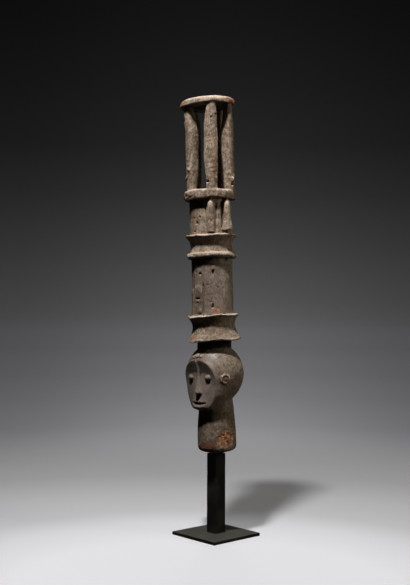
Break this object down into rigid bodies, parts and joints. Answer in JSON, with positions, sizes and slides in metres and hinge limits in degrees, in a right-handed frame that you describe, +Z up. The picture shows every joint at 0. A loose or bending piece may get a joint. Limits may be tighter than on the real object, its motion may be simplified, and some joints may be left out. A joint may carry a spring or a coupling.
{
  "type": "crest mask on a stand",
  "caption": "Carved wooden crest mask: a head under two spools and an open cage of posts, standing on a square metal post and plate.",
  "frame": {"origin": "middle of the stand plate's underside, on the ground", "axes": "+Z up, -Y the way the carved face looks, +X towards the right of someone facing the mask"},
  "size_m": [0.1277, 0.1272, 0.8497],
  "materials": {
    "old_wood": "dry encrusted grey-brown patina, dusty pinkish edges, a little bare orange wood",
    "stand_metal": "satin black-bronze"
  },
  "bodies": {
    "root": {"stand_plate": "stand_metal", "stand_post": "stand_metal", "crest_carving": "old_wood"}
  },
  "joints": []
}
